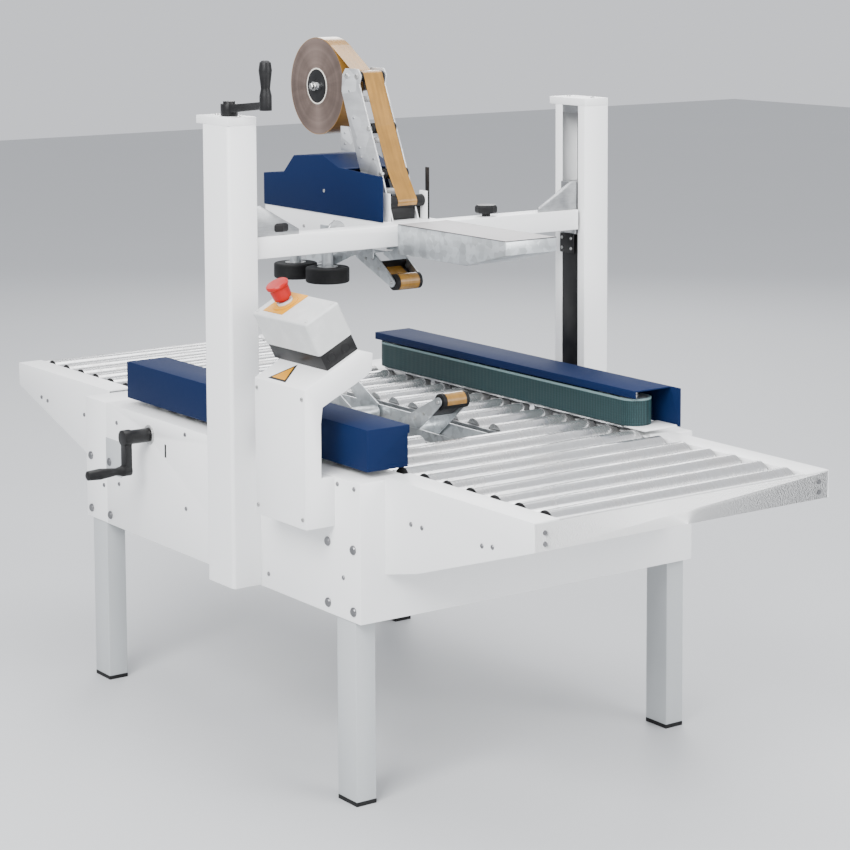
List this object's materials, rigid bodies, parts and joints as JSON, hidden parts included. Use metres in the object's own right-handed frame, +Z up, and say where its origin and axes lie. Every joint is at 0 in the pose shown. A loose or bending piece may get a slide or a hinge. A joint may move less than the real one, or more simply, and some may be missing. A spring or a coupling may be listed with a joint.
{
  "type": "carton sealer machine",
  "caption": "Free-standing carton sealer: roller bed on legs, two side belt drives, height-adjustable top tape head on two columns, bottom tape head, cranks and stop button.",
  "frame": {"origin": "on the floor, on the tape line, midway between the feet", "axes": "+X along the bed toward the infeed end, +Y across the bed away from the operator side, +Z up"},
  "size_m": [1.998, 1.043, 1.427],
  "materials": {
    "white_paint": "satin powder coat",
    "grey_leg_paint": "light grey satin paint",
    "black_rubber": "matt moulded rubber",
    "frame_steel": "plain bright steel",
    "galvanised": "zinc plated sheet with a soft sheen",
    "zinc_roller": "zinc plated tube with fine turned rings",
    "bright_fastener": "bright zinc screw heads",
    "blue_paint": "satin dark blue paint",
    "belt_rubber": "ribbed dark teal belt",
    "tan_tape": "brown packing tape film",
    "black_plastic": "fine grained black plastic",
    "light_grey_plastic": "light grey moulded plastic",
    "red_plastic": "red moulded plastic"
  },
  "bodies": {
    "machine_base": {"near_side_panel": "white_paint", "far_side_panel": "white_paint", "end_shells": "white_paint", "legs": "grey_leg_paint", "foot_pads": "black_rubber", "inner_frame": "frame_steel", "guide_rods": "frame_steel", "screw_bearings": "frame_steel", "bed_rollers": "zinc_roller", "roller_axles": "frame_steel", "extension_frames": "white_paint", "body_fasteners": "bright_fastener", "near_column": "white_paint", "far_column": "white_paint", "column_caps": "white_paint", "control_pedestal": "white_paint", "control_box": "black_plastic", "control_lid": "light_grey_plastic", "lower_head_frame": "galvanised"},
    "stop_button": {"estop_button": "red_plastic"},
    "near_lift_drive": {"near_lift_screw": "frame_steel", "height_crank": "black_plastic"},
    "far_lift_drive": {"far_lift_screw": "frame_steel"},
    "head": {"lift_carriages": "frame_steel", "crossbeam": "white_paint", "infeed_ramp": "galvanised", "upper_head_frame": "white_paint", "upper_cassette": "galvanised", "head_guard": "blue_paint", "tape_mast": "galvanised", "guide_rollers": "black_rubber"},
    "top_front_arm": {"upper_front_arm": "galvanised", "upper_front_roller": "black_rubber"},
    "top_rear_arm": {"upper_rear_arm": "galvanised"},
    "top_roll": {"upper_tape_roll": "tan_tape", "upper_roll_hub": "black_plastic"},
    "front_wheel": {"front_compression_wheel": "black_rubber"},
    "rear_wheel": {"rear_compression_wheel": "black_rubber"},
    "bottom_roll": {"lower_tape_roll": "tan_tape"},
    "bottom_front_arm": {"lower_front_arm": "galvanised", "lower_front_roller": "black_rubber"},
    "bottom_rear_arm": {"lower_rear_arm": "galvanised"},
    "near_unit": {"near_unit_frame": "frame_steel", "near_belt_cover": "blue_paint", "near_side_belt": "belt_rubber"},
    "near_drive": {"near_drive_drum": "galvanised"},
    "near_idler": {"near_idler_drum": "galvanised"},
    "far_unit": {"far_unit_frame": "frame_steel", "far_belt_cover": "blue_paint", "far_side_belt": "belt_rubber"},
    "far_drive": {"far_drive_drum": "galvanised"},
    "far_idler": {"far_idler_drum": "galvanised"},
    "width_drive": {"width_crank": "black_plastic", "width_screw": "frame_steel"},
    "roller_1": {"infeed_roller_1": "zinc_roller"},
    "roller_2": {"infeed_roller_2": "zinc_roller"},
    "roller_3": {"infeed_roller_3": "zinc_roller"},
    "roller_4": {"infeed_roller_4": "zinc_roller"},
    "roller_5": {"infeed_roller_5": "zinc_roller"},
    "roller_6": {"infeed_roller_6": "zinc_roller"}
  },
  "joints": [
    {"name": "head_lift", "type": "slide", "parent": "machine_base", "child": "head", "axis": [0, 0, 1], "range_m": [-0.16, 0.12]},
    {"name": "near_screw_turn", "type": "hinge", "parent": "machine_base", "child": "near_lift_drive", "pos_m": [0.1445, -0.444, 1], "axis": [0, 0, 1], "range_deg": [-5762, 4322]},
    {"name": "far_screw_turn", "type": "hinge", "parent": "machine_base", "child": "far_lift_drive", "pos_m": [0.1445, 0.444, 1], "axis": [0, 0, 1], "range_deg": [-5762, 4322]},
    {"name": "near_unit_slide", "type": "slide", "parent": "machine_base", "child": "near_unit", "axis": [0, 1, 0], "range_m": [0, 0.18]},
    {"name": "far_unit_slide", "type": "slide", "parent": "machine_base", "child": "far_unit", "axis": [0, -1, 0], "range_m": [0, 0.18]},
    {"name": "width_screw_turn", "type": "hinge", "parent": "machine_base", "child": "width_drive", "pos_m": [-0.2555, 0, 0.59], "axis": [0, 1, 0], "range_deg": [-2, 6482]},
    {"name": "near_drive_spin", "type": "hinge", "parent": "near_unit", "child": "near_drive", "pos_m": [-0.375, -0.313, 0.6745], "axis": [0, 0, 1], "continuous": true},
    {"name": "near_idler_spin", "type": "hinge", "parent": "near_unit", "child": "near_idler", "pos_m": [0.48, -0.313, 0.6745], "axis": [0, 0, 1], "continuous": true},
    {"name": "far_drive_spin", "type": "hinge", "parent": "far_unit", "child": "far_drive", "pos_m": [-0.375, 0.313, 0.6745], "axis": [0, 0, -1], "continuous": true},
    {"name": "far_idler_spin", "type": "hinge", "parent": "far_unit", "child": "far_idler", "pos_m": [0.48, 0.313, 0.6745], "axis": [0, 0, -1], "continuous": true},
    {"name": "top_roll_spin", "type": "hinge", "parent": "head", "child": "top_roll", "pos_m": [-0.185, 0, 1.322], "axis": [0, 1, 0], "continuous": true},
    {"name": "bottom_roll_spin", "type": "hinge", "parent": "machine_base", "child": "bottom_roll", "pos_m": [0, 0, 0.468], "axis": [0, 1, 0], "continuous": true},
    {"name": "front_wheel_spin", "type": "hinge", "parent": "head", "child": "front_wheel", "pos_m": [0.02, -0.136, 0.942], "axis": [0, 0, 1], "continuous": true},
    {"name": "rear_wheel_spin", "type": "hinge", "parent": "head", "child": "rear_wheel", "pos_m": [-0.082, -0.15, 0.942], "axis": [0, 0, 1], "continuous": true},
    {"name": "top_front_arm_swing", "type": "hinge", "parent": "head", "child": "top_front_arm", "pos_m": [-0.009, 0, 0.99], "axis": [0, -1, 0], "range_deg": [0, 38], "stiffness_Nm_per_rad": 4, "springref_deg": -28.65},
    {"name": "top_rear_arm_swing", "type": "hinge", "parent": "head", "child": "top_rear_arm", "pos_m": [-0.11, 0, 0.99], "axis": [0, 1, 0], "range_deg": [0, 38]},
    {"name": "bottom_front_arm_swing", "type": "hinge", "parent": "machine_base", "child": "bottom_front_arm", "pos_m": [0.146, 0, 0.616], "axis": [0, 1, 0], "range_deg": [0, 30], "stiffness_Nm_per_rad": 8, "springref_deg": -45.84},
    {"name": "bottom_rear_arm_swing", "type": "hinge", "parent": "machine_base", "child": "bottom_rear_arm", "pos_m": [-0.06, 0, 0.616], "axis": [0, -1, 0], "range_deg": [0, 30]},
    {"name": "stop_press", "type": "slide", "parent": "machine_base", "child": "stop_button", "axis": [0, 0.454, -0.891], "range_m": [0, 0.005], "stiffness_N_per_m": 2000, "springref_m": -0.002},
    {"name": "roller_1_spin", "type": "hinge", "parent": "machine_base", "child": "roller_1", "pos_m": [0.584, 0, 0.616], "axis": [0, 1, 0], "continuous": true},
    {"name": "roller_2_spin", "type": "hinge", "parent": "machine_base", "child": "roller_2", "pos_m": [0.657, 0, 0.616], "axis": [0, 1, 0], "continuous": true},
    {"name": "roller_3_spin", "type": "hinge", "parent": "machine_base", "child": "roller_3", "pos_m": [0.73, 0, 0.616], "axis": [0, 1, 0], "continuous": true},
    {"name": "roller_4_spin", "type": "hinge", "parent": "machine_base", "child": "roller_4", "pos_m": [0.803, 0, 0.616], "axis": [0, 1, 0], "continuous": true},
    {"name": "roller_5_spin", "type": "hinge", "parent": "machine_base", "child": "roller_5", "pos_m": [0.876, 0, 0.616], "axis": [0, 1, 0], "continuous": true},
    {"name": "roller_6_spin", "type": "hinge", "parent": "machine_base", "child": "roller_6", "pos_m": [0.949, 0, 0.616], "axis": [0, 1, 0], "continuous": true}
  ],
  "couplings": [
    {"joint": "near_screw_turn", "follows": "head_lift", "rad_per_m": 628.32},
    {"joint": "far_screw_turn", "follows": "head_lift", "rad_per_m": 628.32},
    {"joint": "far_unit_slide", "follows": "near_unit_slide", "ratio": 1},
    {"joint": "width_screw_turn", "follows": "near_unit_slide", "rad_per_m": 628.32},
    {"joint": "near_idler_spin", "follows": "near_drive_spin", "ratio": 1},
    {"joint": "far_idler_spin", "follows": "far_drive_spin", "ratio": 1},
    {"joint": "top_rear_arm_swing", "follows": "top_front_arm_swing", "ratio": 1},
    {"joint": "bottom_rear_arm_swing", "follows": "bottom_front_arm_swing", "ratio": 1}
  ]
}
